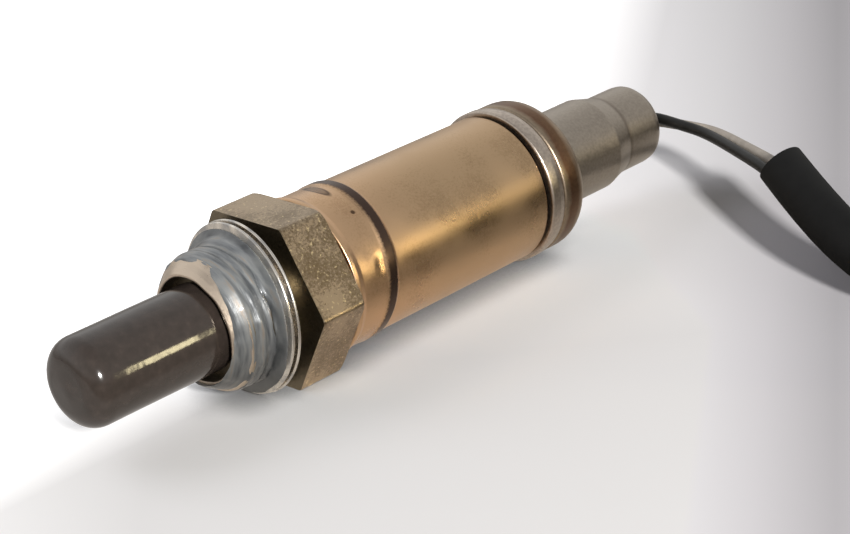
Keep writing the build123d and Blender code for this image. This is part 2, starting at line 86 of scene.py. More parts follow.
# %% Camera
camera_data = bpy.data.cameras.new("photo_camera")
camera_data.lens = 94.61
camera_data.sensor_width = 36.0
camera_data.clip_start = 0.01
camera = bpy.data.objects.new("photo_camera", camera_data)
camera.location = Vector((-183.04, -203.05, 123.37)) * MM
camera.rotation_euler = [math.radians(a) for a in (66.767, 5.519, -45.544)]
bpy.context.collection.objects.link(camera)
bpy.context.scene.camera = camera
bpy.context.scene.view_settings.view_transform = "Standard"
print("camera at", camera.location)

# %% [markdown]
# Colours are written as sRGB hex values, the way a colour picker shows them, and one
# function turns them to the linear values that shaders need. One more function adds a node,
# sets it up and links it, so every material below reads as a list of what feeds what.

# %% Colour and node helpers
def linear(code):
    """Linear RGBA of an sRGB hex colour."""
    parts = [int(code[i:i + 2], 16) / 255 for i in (1, 3, 5)]
    return [c / 12.92 if c < 0.04045 else ((c + 0.055) / 1.055) ** 2.4 for c in parts] + [1]


def add_node(tree, kind, feeds=(), stops=(), **settings):
    """New node with its settings, its input values or links, and its ramp's stops."""
    node = tree.nodes.new(kind)
    for name, value in settings.items():
        setattr(node, name, value)
    for socket, value in dict(feeds).items():
        if isinstance(value, bpy.types.NodeSocket):
            tree.links.new(value, node.inputs[socket])
        else:
            node.inputs[socket].default_value = value
    if stops:
        ramp = node.color_ramp.elements
        ramp.remove(ramp[1])
        ramp[0].position, ramp[0].color = stops[0]
        for place, colour in stops[1:]:
            ramp.new(place).color = colour
    return node


def per_mm(size):
    """Texture scale that gives a feature of this size in millimetres."""
    return 1000 / size


print("mid grey", [round(c, 3) for c in linear("#808080")])

# %% [markdown]
# A finish starts with a Principled shader and the object's own coordinates, which are
# metres here. Keeping both in one helper means each finish only states what is special.

# %% Start of a finish
def new_finish(name, **values):
    """Material with its tree, its Principled shader and the Object coordinate's socket."""
    material = bpy.data.materials.new(name)
    material.use_nodes = True
    tree = material.node_tree
    tree.nodes.clear()
    shader = add_node(tree, "ShaderNodeBsdfPrincipled")
    for socket, value in values.items():
        shader.inputs[socket.replace("_", " ")].default_value = value
    add_node(tree, "ShaderNodeOutputMaterial", {"Surface": shader.outputs[0]})
    place = add_node(tree, "ShaderNodeTexCoord").outputs["Object"]
    return material, tree, shader, place


finishes = {}

# %% [markdown]
# The lead comes next, since it may spread only so far outside the view. A limp wire is a
# NURBS curve: it cuts its corners in soft bends, as real wire does. The two wires leave
# the grommet one behind the other and end inside the mouth of the lead's sleeve.

# %% Wires
WIRE_THICKNESS = 1.6
BLACK_WIRE = [
    (23.0, -2.4, 12.2), (25.8, -2.4, 12.2), (30.2, -1.05, 11.6), (34.9, -1.05, 11.6),
    (48.3, -1.05, 11.6), (54.4, -1.05, 11.6), (54.9, -7.1, 10.9), (54.9, -11.5, 10.5),
    (50.3, -20.8, 10.9), (46.2, -29.35, 10.9), (42.6, -36.0, 9.9),
]
GREY_WIRE = [
    (23.0, 2.4, 9.8), (25.8, 2.4, 9.8), (30.2, 1.05, 10.4), (34.9, 1.05, 10.4),
    (46.7, 1.05, 10.4), (55.4, 1.05, 10.4), (57.1, -7.4, 10.0), (57.2, -11.7, 9.9),
    (52.5, -21.2, 10.6), (47.55, -30.2, 11.5), (43.6, -36.6, 10.7),
]


def nurbs_curve(name, points, thickness=0.0):
    """Curve object of one smooth spline through a route's points, in millimetres."""
    data = bpy.data.curves.new(name, "CURVE")
    data.dimensions = "3D"
    data.resolution_u = 10
    data.bevel_depth = 1.0 if thickness else 0.0
    data.bevel_resolution = 7
    data.use_fill_caps = True
    spline = data.splines.new("NURBS")
    spline.points.add(len(points) - 1)
    for control, point in zip(spline.points, points):
        control.co = (*[c * MM for c in point], 1)
        control.radius = thickness / 2 * MM
    spline.order_u = 3
    spline.use_endpoint_u = True
    curve = bpy.data.objects.new(name, data)
    bpy.context.collection.objects.link(curve)
    return curve


def line_of(points):
    """Evaluated points of a route's smooth line, as vectors in metres."""
    curve = nurbs_curve("route", points)
    shape = bpy.data.meshes.new_from_object(curve.evaluated_get(
        bpy.context.evaluated_depsgraph_get()))
    line = [v.co.copy() for v in shape.vertices]
    bpy.data.objects.remove(curve)
    bpy.data.meshes.remove(shape)
    return line


def length_of(line):
    """Length of a line of points, in metres."""
    return sum((b - a).length for a, b in zip(line, line[1:]))


for wire_name, route in (("black", BLACK_WIRE), ("grey", GREY_WIRE)):
    wire = nurbs_curve(f"{wire_name}_wire", route, WIRE_THICKNESS)
    wire_length = length_of(line_of(route))
    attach(wire, "sensor")
    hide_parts(f"wire_{wire_name}")
    print(wire.name, round(wire_length * 1000, 1), "mm")

# %% [markdown]
# The lead's sleeve is a thicker black tube with an open, slightly slanting mouth. It drops
# to the table, runs out of the picture, makes one tied turn, climbs on top of itself and
# ends in the plug. A mesh tube is used here and not a bevelled curve, because the mouth
# has to be hollow where the wires go in.

# %% The lead's route
LEAD_THICKNESS = 6.6
MOUTH = Vector((47.27, -30.3, 11.9)) * MM
MOUTH_SLANT = Vector((0.125, 0.785, 0.607)).normalized()
MOUTH_BORE = 5.8
COIL_CENTRE = (67.49, -84.58)
COIL_RADIUS = 30.8
COIL_STEP = 14
lead_route = [
    (47.73, -29.24, 12.38), (38.2, -43.3, 10.1), (36.4, -53.0, 6.0), (38.2, -60.5, 3.4),
    (39.3, -67.5, 3.3), (38.55, -74.05, 3.3),
]
for turn in range(160 + COIL_STEP, 440, COIL_STEP):
    reach = COIL_RADIUS / math.cos(math.radians(COIL_STEP / 2))
    angle = math.radians(turn)
    lead_route.append((COIL_CENTRE[0] + reach * math.cos(angle),
                       COIL_CENTRE[1] + reach * math.sin(angle), 3.3))
lead_route += [
    (72.82, -54.27, 3.3), (61.0, -54.0, 4.9), (50.0, -58.6, 7.8), (42.3, -65.9, 10.1),
    (36.9, -78.1, 9.9), (36.65, -90.0, 9.9), (40.6, -100.1, 10.9), (48.7, -106.7, 12.6),
    (57.0, -107.7, 13.6), (65.05, -107.7, 13.6),
]
lead_line = line_of(lead_route)
print("lead", len(lead_route), "points,", round(length_of(lead_line) * 1000, 1), "mm")

# %% [markdown]
# The tube's rings are carried along the line without twisting: each ring's side vector is
# the last one's, made square to the new direction. The first ring is slid along the tube
# onto the slanting cut, and an inner wall turns back into the mouth.

# %% The lead's tube
def frames_along(line):
    """Centre, direction and two side vectors at each point, without twist."""
    frames, side = [], Vector((0, 0, 1))
    for k, centre in enumerate(line):
        along = (line[min(k + 1, len(line) - 1)] - line[max(k - 1, 0)]).normalized()
        side = (side - along * side.dot(along)).normalized()
        frames.append((centre, along, side, along.cross(side)))
    return frames


def mesh_object(name, work):
    """Object of a finished bmesh, smooth except at its sharp edges."""
    bmesh.ops.remove_doubles(work, verts=work.verts, dist=2e-7)
    bmesh.ops.dissolve_degenerate(work, edges=work.edges, dist=1e-7)
    bmesh.ops.recalc_face_normals(work, faces=work.faces)
    data = bpy.data.meshes.new(name)
    work.to_mesh(data)
    work.free()
    data.shade_smooth()
    data.set_sharp_from_angle(angle=math.radians(38))
    piece = bpy.data.objects.new(name, data)
    bpy.context.collection.objects.link(piece)
    return piece


def hollow_tube(name, line, thickness, bore, mouth, slant, depth, sides=32):
    """Tube along a line, open and slantwise cut at its start for a depth, closed behind."""
    work = bmesh.new()
    frames = [f for k, f in enumerate(frames_along(line))
              if k == 0 or (f[0] - line[0]).length > 0.6 * thickness * MM]
    inner = [f for f in frames if (f[0] - line[0]).length < depth * MM]
    rings = []
    for wall, group in ((bore / 2, inner[::-1]), (thickness / 2, frames)):
        for centre, along, up, across in group:
            ring = []
            for k in range(sides):
                turn = math.tau * k / sides
                spot = centre + (up * math.cos(turn) + across * math.sin(turn)) * wall * MM
                if centre is frames[0][0]:
                    spot += along * ((mouth - spot).dot(slant) / along.dot(slant))
                ring.append(work.verts.new(spot))
            rings.append(ring)
    for ring, following in zip(rings, rings[1:]):
        for k in range(sides):
            j = (k + 1) % sides
            work.faces.new((ring[k], ring[j], following[j], following[k]))
    work.faces.new(rings[0])
    work.faces.new(rings[-1])
    return mesh_object(name, work)


lead = hollow_tube("lead_tube", lead_line, LEAD_THICKNESS, MOUTH_BORE, MOUTH, MOUTH_SLANT, 8.5)
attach(lead, "sensor")
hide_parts("lead_sleeve", "lead_coil", "lead_end")
print("lead tube", len(lead.data.polygons), "faces")

# %% [markdown]
# Turned pieces share one tool, as they would on a lathe: an outline of stations and radii,
# with a rounding at each corner, is spun about the axis. An optional shape function may
# move each point by its angle, which is how the hex, the dents and the ripples are made.

# %% The lathe
def rounded(outline, parts=6):
    """Outline of (station, radius) from corners of (station, radius, rounding)."""
    points = []
    for k, corner in enumerate(outline):
        here = Vector(corner[:2])
        size = corner[2] if len(corner) > 2 else 0
        if not size:
            points.append(tuple(here))
            continue
        back = (Vector(outline[k - 1][:2]) - here).normalized()
        ahead = (Vector(outline[(k + 1) % len(outline)][:2]) - here).normalized()
        half = back.angle(ahead) / 2
        centre = here + (back + ahead).normalized() * size / math.sin(half)
        start = here + back * size / math.tan(half) - centre
        sweep = start.angle_signed(here + ahead * size / math.tan(half) - centre)
        for part in range(parts + 1):
            turned = Matrix.Rotation(-sweep * part / parts, 2) @ start
            points.append(tuple(centre + turned))
    return points


def turned_piece(name, outline, shape=None, steps=240, lift=0.0):
    """Closed piece spun about the sensor's axis from a closed outline."""
    work = bmesh.new()
    rings = []
    for station, radius in outline:
        ring = []
        for k in range(steps):
            turn = math.tau * k / steps
            s, r = shape(station, radius, turn) if shape else (station, radius)
            ring.append(work.verts.new(at(s, r * math.cos(turn),
                                          AXIS_HEIGHT + lift + r * math.sin(turn))))
        rings.append(ring)
    for ring, following in zip(rings, rings[1:] + rings[:1]):
        for k in range(steps):
            j = (k + 1) % steps
            work.faces.new((ring[k], ring[j], following[j], following[k]))
    return mesh_object(name, work)


def dressed(piece, body, node, finish):
    """The piece rides on a body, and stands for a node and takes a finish."""
    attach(piece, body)
    if node:
        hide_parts(node)
    piece.data.materials.clear()
    piece.data.materials.append(finishes[finish])
    print(piece.name, len(piece.data.polygons), "faces")
    return piece


def waver(station, turn, size, seed=0.0):
    """Smooth random value from -1 to 1 on the turned surface, for features of a size."""
    return noise.noise(Vector((station / size + seed, 9 * math.cos(turn) / size,
                               9 * math.sin(turn) / size)))


# %% [markdown]
# Dipped vinyl makes the tip cap: a soft plastic skin that was dipped hot, so it is smooth
# and semi-glossy, with a long clear highlight, faint orange-peel waves of a few millimetres
# and some dust. Its brown-black colour is a dielectric's, so the specular stays plain.

# %% Finish of the cap: dipped vinyl
vinyl, tree, shader, place = new_finish("dipped_vinyl", Roughness=0.12, IOR=1.5)
dust = add_node(tree, "ShaderNodeTexNoise", {"Vector": place, "Scale": per_mm(1.2), "Detail": 6})
tone = add_node(tree, "ShaderNodeValToRGB", {"Fac": dust.outputs["Fac"]},
                [(0.35, linear("#2c2622")), (0.6, linear("#322b27")), (0.8, linear("#3a322d"))])
tree.links.new(tone.outputs["Color"], shader.inputs["Base Color"])
peel = add_node(tree, "ShaderNodeTexNoise", {"Vector": place, "Scale": per_mm(2.5), "Detail": 2})
bump = add_node(tree, "ShaderNodeBump", {"Height": peel.outputs["Fac"], "Strength": 0.12,
                                         "Distance": 0.0003})
tree.links.new(bump.outputs["Normal"], shader.inputs["Normal"])
finishes["cap_vinyl"] = vinyl
print("vinyl nodes", len(tree.nodes))

# %% [markdown]
# The shell is turned steel with a thin nickel plate that heat has tinted bronze. The grain
# of the cold-drawn bar shows as fine speckle, and sparse bright flecks on the hex flats are
# painted glints. The front face of the hex sits behind the gasket, and its colour is painted
# dark there as painted shade.

# %% Finish of the shell: bronze-tinted nickel
nickel, tree, shader, place = new_finish("tinted_nickel_plate", Metallic=1.0)
grain = add_node(tree, "ShaderNodeTexNoise", {"Vector": place, "Scale": per_mm(0.35),
                                              "Detail": 5, "Roughness": 0.7})
cloud = add_node(tree, "ShaderNodeTexNoise", {"Vector": place, "Scale": per_mm(6), "Detail": 3})
mixed = add_node(tree, "ShaderNodeMath", {0: grain.outputs["Fac"], 1: cloud.outputs["Fac"]},
                 operation="ADD")
tone = add_node(tree, "ShaderNodeValToRGB", {"Fac": mixed.outputs[0]},
                [(0.78, linear("#7d6c54")), (0.95, linear("#93826c")), (1.12, linear("#a9967d"))])
# Bright flecks of pale gold are painted glints: the sparkle of the bar's grain, painted into the
# colour.
glint_flecks = add_node(tree, "ShaderNodeTexNoise", {"Vector": place, "Scale": per_mm(0.45),
                                               "Detail": 2})
spark = add_node(tree, "ShaderNodeMapRange", {"Value": glint_flecks.outputs["Fac"], "From Min": 0.62,
                                              "From Max": 0.76})
tone = add_node(tree, "ShaderNodeMix", {"Factor": spark.outputs[0], 6: tone.outputs["Color"],
                                        7: linear("#e2cda2")}, data_type="RGBA")
along = add_node(tree, "ShaderNodeSeparateXYZ", {0: place})
# The hex's front face and the neck in front of it are mixed to a dark tone: painted shade between
# the gasket and the hex.
unshaded_behind_face = add_node(tree, "ShaderNodeMapRange", {"Value": along.outputs["X"],
                                             "From Min": (HEX_FRONT - 0.02) * MM,
                                             "From Max": (HEX_FRONT + 0.10) * MM})
lip = add_node(tree, "ShaderNodeMapRange", {"Value": along.outputs["X"],
                                            "From Min": (HEX_FRONT - 8.6) * MM,
                                            "From Max": (HEX_FRONT - 7.8) * MM,
                                            "To Min": 1.0, "To Max": 0.0})
unshaded = add_node(tree, "ShaderNodeMath", {0: unshaded_behind_face.outputs[0], 1: lip.outputs[0]},
                 operation="MAXIMUM")
black = add_node(tree, "ShaderNodeMix", {"Factor": unshaded.outputs[0], 6: linear("#6e6656"),
                                         7: tone.outputs[2]}, data_type="RGBA")
# Inside the nose's bore, within the lip, the colour is painted dark: painted shade of the recess
# round the cap. The lip's rim itself is bright bare metal.
off_axis = add_node(tree, "ShaderNodeVectorMath", {0: place, 1: (0, 0, AXIS_HEIGHT * MM)},
                    operation="SUBTRACT")
across = add_node(tree, "ShaderNodeVectorMath", {0: off_axis.outputs[0], 1: (0, 1, 1)},
                  operation="MULTIPLY")
radius = add_node(tree, "ShaderNodeVectorMath", {0: across.outputs[0]}, operation="LENGTH")
rim = add_node(tree, "ShaderNodeMapRange", {"Value": radius.outputs["Value"],
                                            "From Min": 6.85 * MM, "From Max": 7.1 * MM})
lip_with_recess_shade = add_node(tree, "ShaderNodeMix", {"Factor": rim.outputs[0], 6: linear("#4a423a"),
                                         7: linear("#cdbdab")}, data_type="RGBA")
shell_tone_with_shade = add_node(tree, "ShaderNodeMix", {"Factor": lip.outputs[0], 6: black.outputs[2],
                                        7: lip_with_recess_shade.outputs[2]}, data_type="RGBA")
tree.links.new(shell_tone_with_shade.outputs[2], shader.inputs["Base Color"])
rough = add_node(tree, "ShaderNodeMapRange", {"Value": grain.outputs["Fac"], "From Min": 0.3,
                                              "From Max": 0.7, "To Min": 0.26, "To Max": 0.42})
tree.links.new(rough.outputs[0], shader.inputs["Roughness"])
bump = add_node(tree, "ShaderNodeBump", {"Height": grain.outputs["Fac"], "Strength": 0.35,
                                         "Distance": 0.00006})
tree.links.new(bump.outputs["Normal"], shader.inputs["Normal"])
finishes["shell_nickel"] = nickel
print("nickel nodes", len(tree.nodes))

# %% [markdown]
# Drawn steel sheet turns gold when the weld and the exhaust heat it. The colour drifts from
# coppery near the hex to bronze further back, in clouds of some millimetres, over a fine
# rolled speckle. The weld ring itself is burnt dark brown, which the station decides.

# %% Finish of the protective sleeve: gold heat tint
gold, tree, shader, place = new_finish("gold_heat_tinted_steel", Metallic=1.0)
speck = add_node(tree, "ShaderNodeTexNoise", {"Vector": place, "Scale": per_mm(0.3),
                                              "Detail": 6, "Roughness": 0.75})
cloud = add_node(tree, "ShaderNodeTexNoise", {"Vector": place, "Scale": per_mm(9), "Detail": 4})
mixed = add_node(tree, "ShaderNodeMath", {0: speck.outputs["Fac"], 1: cloud.outputs["Fac"]},
                 operation="ADD")
tone = add_node(tree, "ShaderNodeValToRGB", {"Fac": mixed.outputs[0]},
                [(0.70, linear("#987b5f")), (0.95, linear("#bd9e7b")), (1.3, linear("#c7a886"))])
along = add_node(tree, "ShaderNodeSeparateXYZ", {0: place})
front = add_node(tree, "ShaderNodeMapRange", {"Value": along.outputs["X"],
                                              "From Min": (HEX_FRONT + 12) * MM,
                                              "From Max": (HEX_FRONT + 26) * MM})
copper = add_node(tree, "ShaderNodeMix", {"Factor": front.outputs[0], 6: linear("#d2aa84"),
                                          7: linear("#ba9d79")},
                  data_type="RGBA", blend_type="MIX")
tinted = add_node(tree, "ShaderNodeMix", {"Factor": 0.45, 6: tone.outputs["Color"],
                                          7: copper.outputs[2]}, data_type="RGBA")
slanted = add_node(tree, "ShaderNodeVectorMath", {0: place, 1: (1.0, 0.0, -1.0 / 10.66)},
                   operation="DOT_PRODUCT")
middle = add_node(tree, "ShaderNodeMath", {0: slanted.outputs["Value"],
                                           1: (HEX_FRONT + 14.0 - AXIS_HEIGHT / 10.66) * MM},
                  operation="SUBTRACT")
apart = add_node(tree, "ShaderNodeMath", {0: middle.outputs[0]}, operation="ABSOLUTE")
ragged = add_node(tree, "ShaderNodeMath", {0: speck.outputs["Fac"], 1: 0.0007,
                                           2: apart.outputs[0]}, operation="MULTIPLY_ADD")
weld = add_node(tree, "ShaderNodeMapRange", {"Value": ragged.outputs[0], "From Min": 0.0009,
                                             "From Max": 0.0013, "To Min": 1.0, "To Max": 0.0})
burnt = add_node(tree, "ShaderNodeMix", {"Factor": weld.outputs[0], 6: tinted.outputs[2],
                                         7: linear("#51423a")}, data_type="RGBA")


def scorched(colour, spot, half_size, stops):
    """The colour with an oval scorch mark on it, by the distance from a spot in metres."""
    apart = add_node(tree, "ShaderNodeVectorMath", {0: place, 1: spot}, operation="SUBTRACT")
    share = add_node(tree, "ShaderNodeVectorMath", {0: apart.outputs[0],
                                                    1: [s * MM for s in half_size]},
                     operation="DIVIDE")
    reach = add_node(tree, "ShaderNodeVectorMath", {0: share.outputs[0]}, operation="LENGTH")
    mark = add_node(tree, "ShaderNodeValToRGB", {"Fac": reach.outputs["Value"]},
                    [(place_, (v, v, v, 1)) for place_, v in stops])
    return add_node(tree, "ShaderNodeMix", {"Factor": mark.outputs["Color"], 6: colour,
                                            7: linear("#3d2a20")}, data_type="RGBA").outputs[2]


marked = scorched(burnt.outputs[2], at(12.4, 0.4, 21.6), (0.85, 3.0, 3.0),
                  [(0.0, 0.7), (0.5, 0.6), (0.75, 0.9), (1.0, 0.0)])
marked = scorched(marked, at(12.6, -5.9, 19.8), (0.4, 0.4, 0.4),
                  [(0.0, 0.9), (0.6, 0.8), (1.0, 0.0)])
tree.links.new(marked, shader.inputs["Base Color"])
rough = add_node(tree, "ShaderNodeMapRange", {"Value": cloud.outputs["Fac"], "From Min": 0.35,
                                              "From Max": 0.65, "To Min": 0.24, "To Max": 0.38})
tree.links.new(rough.outputs[0], shader.inputs["Roughness"])
bump = add_node(tree, "ShaderNodeBump", {"Height": speck.outputs["Fac"], "Strength": 0.25,
                                         "Distance": 0.00004})
tree.links.new(bump.outputs["Normal"], shader.inputs["Normal"])
finishes["sleeve_gold"] = gold
print("gold nodes", len(tree.nodes))

# %% [markdown]
# The rear cover is the same drawn steel, but only its shoulder was heated: a brown ring of
# heat tint that fades to grey nickel on both sides. The retaining band in front of it is
# plain satin nickel.

# %% Finish of the rear cover and the band
cover, tree, shader, place = new_finish("brown_heat_tinted_steel", Metallic=1.0)
grain = add_node(tree, "ShaderNodeTexNoise", {"Vector": place, "Scale": per_mm(0.4), "Detail": 5})
cloud = add_node(tree, "ShaderNodeTexNoise", {"Vector": place, "Scale": per_mm(4), "Detail": 3})
along = add_node(tree, "ShaderNodeSeparateXYZ", {0: place})
drift = add_node(tree, "ShaderNodeMath", {0: cloud.outputs["Fac"], 1: 0.0014,
                                          2: along.outputs["X"]}, operation="MULTIPLY_ADD")
heat = add_node(tree, "ShaderNodeMapRange", {"Value": drift.outputs[0],
                                             "From Min": (HEX_FRONT + 46.9) * MM,
                                             "From Max": (HEX_FRONT + 56.0) * MM})
tone = add_node(tree, "ShaderNodeValToRGB", {"Fac": heat.outputs[0]},
                [(0.0, linear("#a39686")), (0.13, linear("#94836f")), (0.21, linear("#6f5340")),
                 (0.36, linear("#745a44")), (0.44, linear("#94806b")), (0.54, linear("#b0a08c")),
                 (0.68, linear("#a39584")), (0.85, linear("#a0968a"))])
specks = add_node(tree, "ShaderNodeMapRange", {"Value": grain.outputs["Fac"], "From Min": 0.3,
                                               "From Max": 0.7, "To Min": 0.86, "To Max": 1.08})
shade = add_node(tree, "ShaderNodeVectorMath", {0: tone.outputs["Color"],
                                                1: specks.outputs[0]}, operation="MULTIPLY")
# A thin dark line at the crimp's crease is painted shade, which also dims the step's reflection.
crimp_line = add_node(tree, "ShaderNodeMath", {0: along.outputs["X"],
                                               1: (HEX_FRONT + 66.9) * MM}, operation="SUBTRACT")
apart = add_node(tree, "ShaderNodeMath", {0: crimp_line.outputs[0]}, operation="ABSOLUTE")
crease_shade = add_node(tree, "ShaderNodeMapRange", {"Value": apart.outputs[0], "From Min": 0.0001,
                                             "From Max": 0.0006, "To Min": 0.4, "To Max": 0.0})
crease_shaded = add_node(tree, "ShaderNodeMix", {"Factor": crease_shade.outputs[0], 6: shade.outputs[0],
                                           7: linear("#4c3d31")}, data_type="RGBA")
# Where the cover shows in the gap between the sleeve and the band, it is painted near-black:
# painted shade in the gap.
gap_shade_share = add_node(tree, "ShaderNodeMapRange", {"Value": along.outputs["X"],
                                               "From Min": (HEX_FRONT + 44.5) * MM,
                                               "From Max": (HEX_FRONT + 46.8) * MM})
gap_shaded = add_node(tree, "ShaderNodeMix", {"Factor": gap_shade_share.outputs[0], 6: linear("#15110e"),
                                       7: crease_shaded.outputs[2]}, data_type="RGBA")
tree.links.new(gap_shaded.outputs[2], shader.inputs["Base Color"])
rough = add_node(tree, "ShaderNodeMapRange", {"Value": grain.outputs["Fac"], "To Min": 0.28,
                                              "To Max": 0.44})
tree.links.new(rough.outputs[0], shader.inputs["Roughness"])
finishes["cover_bronze"] = cover

band, tree, shader, place = new_finish("satin_nickel", Metallic=1.0)
grain = add_node(tree, "ShaderNodeTexNoise", {"Vector": place, "Scale": per_mm(0.4), "Detail": 5})
tone = add_node(tree, "ShaderNodeValToRGB", {"Fac": grain.outputs["Fac"]},
                [(0.35, linear("#aa9d92")), (0.65, linear("#c0b4a7"))])
tree.links.new(tone.outputs["Color"], shader.inputs["Base Color"])
rough = add_node(tree, "ShaderNodeMapRange", {"Value": grain.outputs["Fac"], "To Min": 0.27,
                                              "To Max": 0.36})
tree.links.new(rough.outputs[0], shader.inputs["Roughness"])
finishes["band_nickel"] = band
print("cover and band ready")

# %% [markdown]
# The gasket is bright zinc-plated sheet steel, wiped with grease. Anti-seize grease itself
# is a wet grey paste full of metal powder, streaked round the thread by the hand that wiped
# it on, and glossy like oil, which a clear coat gives. It is painted darker towards the
# bottom, as painted shade.

# %% Finish of the gasket and the grease
zinc, tree, shader, place = new_finish("zinc_plated_sheet", Metallic=1.0)
smear = add_node(tree, "ShaderNodeTexNoise", {"Vector": place, "Scale": per_mm(2.2), "Detail": 5})
tone = add_node(tree, "ShaderNodeValToRGB", {"Fac": smear.outputs["Fac"]},
                [(0.38, linear("#b4b2b0")), (0.55, linear("#e0d9cf")), (0.7, linear("#f2ece2"))])
tree.links.new(tone.outputs["Color"], shader.inputs["Base Color"])
rough = add_node(tree, "ShaderNodeMapRange", {"Value": smear.outputs["Fac"], "From Min": 0.35,
                                              "From Max": 0.65, "To Min": 0.38, "To Max": 0.16})
tree.links.new(rough.outputs[0], shader.inputs["Roughness"])
finishes["gasket_steel"] = zinc

grease, tree, shader, place = new_finish("anti_seize_grease", Roughness=0.4, IOR=1.47,
                                         Metallic=0.2, Coat_Weight=0.5, Coat_Roughness=0.06)
stretch = add_node(tree, "ShaderNodeMapping", {"Vector": place, "Scale": (9.0, 1.0, 1.0)})
streak = add_node(tree, "ShaderNodeTexNoise", {"Vector": stretch.outputs[0],
                                               "Scale": per_mm(5.0), "Detail": 4,
                                               "Roughness": 0.5})
tone = add_node(tree, "ShaderNodeValToRGB", {"Fac": streak.outputs["Fac"]},
                [(0.30, linear("#44474a")), (0.47, linear("#626567")), (0.60, linear("#747676")),
                 (0.72, linear("#7b7064"))])
# The paste is darker towards the bottom: painted shade, made by height.
height = add_node(tree, "ShaderNodeSeparateXYZ", {0: place})
low_shade_share = add_node(tree, "ShaderNodeMapRange", {"Value": height.outputs["Z"],
                                              "From Min": 4 * MM, "From Max": 17 * MM})
deep = add_node(tree, "ShaderNodeMix", {"Factor": low_shade_share.outputs[0], 6: linear("#a8a4a0"),
                                        7: linear("#ffffff")}, data_type="RGBA")
paste = add_node(tree, "ShaderNodeMix", {"Factor": 1.0, 6: tone.outputs["Color"],
                                         7: deep.outputs[2]}, data_type="RGBA",
                 blend_type="MULTIPLY")
tree.links.new(paste.outputs[2], shader.inputs["Base Color"])
bump = add_node(tree, "ShaderNodeBump", {"Height": streak.outputs["Fac"], "Strength": 0.35,
                                         "Distance": 0.0004})
tree.links.new(bump.outputs["Normal"], shader.inputs["Normal"])
finishes["grease"] = grease
print("gasket and grease ready")

# %% [markdown]
# Wire insulation and the lead's sleeve are extruded plastics: even, slightly soft in gloss,
# with a faint lengthwise waviness. Black plastic is never zero black: it is a dark grey
# with a plain specular. The moulded plug parts get a spark-eroded mould's fine texture.

# %% Finishes of the plastics, rubber and ceramics
def moulded(name, low, high, size, roughness, depth, ior=1.5):
    """Plain plastic, rubber or ceramic with a fine mottle of a size in millimetres."""
    material, tree, shader, place = new_finish(name, Roughness=roughness, IOR=ior)
    mottle = add_node(tree, "ShaderNodeTexNoise", {"Vector": place, "Scale": per_mm(size),
                                                   "Detail": 5})
    tone = add_node(tree, "ShaderNodeValToRGB", {"Fac": mottle.outputs["Fac"]},
                    [(0.3, linear(low)), (0.7, linear(high))])
    tree.links.new(tone.outputs["Color"], shader.inputs["Base Color"])
    bump = add_node(tree, "ShaderNodeBump", {"Height": mottle.outputs["Fac"], "Strength": 0.3,
                                             "Distance": depth * MM})
    tree.links.new(bump.outputs["Normal"], shader.inputs["Normal"])
    return material


finishes["wire_black"] = moulded("black_wire_insulation", "#0c0c0b", "#171615", 1.5, 0.42, 0.03,
                                 ior=1.36)
finishes["wire_grey"] = moulded("grey_wire_insulation", "#877f75", "#9c9388", 1.5, 0.45, 0.03)
finishes["lead_black"] = moulded("black_pvc_sleeving", "#050505", "#0a0a0a", 2.0, 0.75, 0.05,
                                 ior=1.27)
finishes["grommet_rubber"] = moulded("red_brown_rubber", "#4a2c24", "#6a4438", 0.8, 0.6, 0.03)
finishes["seal_rubber"] = moulded("silicone_seal", "#6e2f1f", "#86402c", 0.8, 0.5, 0.03)
finishes["tie_plastic"] = moulded("black_nylon_tie", "#191919", "#282828", 0.5, 0.4, 0.02)
finishes["plug_plastic"] = moulded("spark_eroded_nylon", "#202022", "#323235", 0.35, 0.5, 0.03)
finishes["lock_plastic"] = moulded("light_nylon", "#9a958a", "#b4aea2", 0.35, 0.5, 0.03)
finishes["spacer_plastic"] = moulded("fluoropolymer", "#dcd9d0", "#eceae4", 0.6, 0.5, 0.02)
finishes["ceramic"] = moulded("fired_alumina", "#dedbd2", "#efede6", 0.5, 0.6, 0.02)
finishes["zirconia"] = moulded("fired_zirconia", "#cfc9bd", "#e2ddd2", 0.5, 0.5, 0.02)
finishes["packing"] = moulded("pressed_talc", "#83807a", "#9b988f", 0.3, 0.9, 0.05)
print(len(finishes), "finishes so far")

# %% [markdown]
# Inside the sensor are drawn tubes, springs and contacts. A drawn or turned metal part has
# fine lines round its axis, which a noise stretched across the axis gives.

# %% Finishes of the inner metals
def drawn_metal(name, low, high, roughness):
    """Metal with fine turned lines round the sensor's axis."""
    material, tree, shader, place = new_finish(name, Metallic=1.0, Roughness=roughness)
    across = add_node(tree, "ShaderNodeMapping", {"Vector": place, "Scale": (12.0, 1.0, 1.0)})
    lines = add_node(tree, "ShaderNodeTexNoise", {"Vector": across.outputs[0],
                                                  "Scale": per_mm(2.5), "Detail": 4})
    tone = add_node(tree, "ShaderNodeValToRGB", {"Fac": lines.outputs["Fac"]},
                    [(0.35, linear(low)), (0.65, linear(high))])
    tree.links.new(tone.outputs["Color"], shader.inputs["Base Color"])
    return material


finishes["tube_steel"] = drawn_metal("drawn_stainless_tube", "#8f8a82", "#b7b2a9", 0.3)
finishes["spring_steel"] = drawn_metal("spring_steel", "#6f7072", "#8c8d8f", 0.35)
finishes["contact_metal"] = drawn_metal("plated_contact", "#b3a276", "#d2c49c", 0.25)
print(len(finishes), "finishes")

# %% [markdown]
# The wires, the lead and every CAD node that stays take their finishes here. The record
# says which material slot each node has, so one loop serves them all.

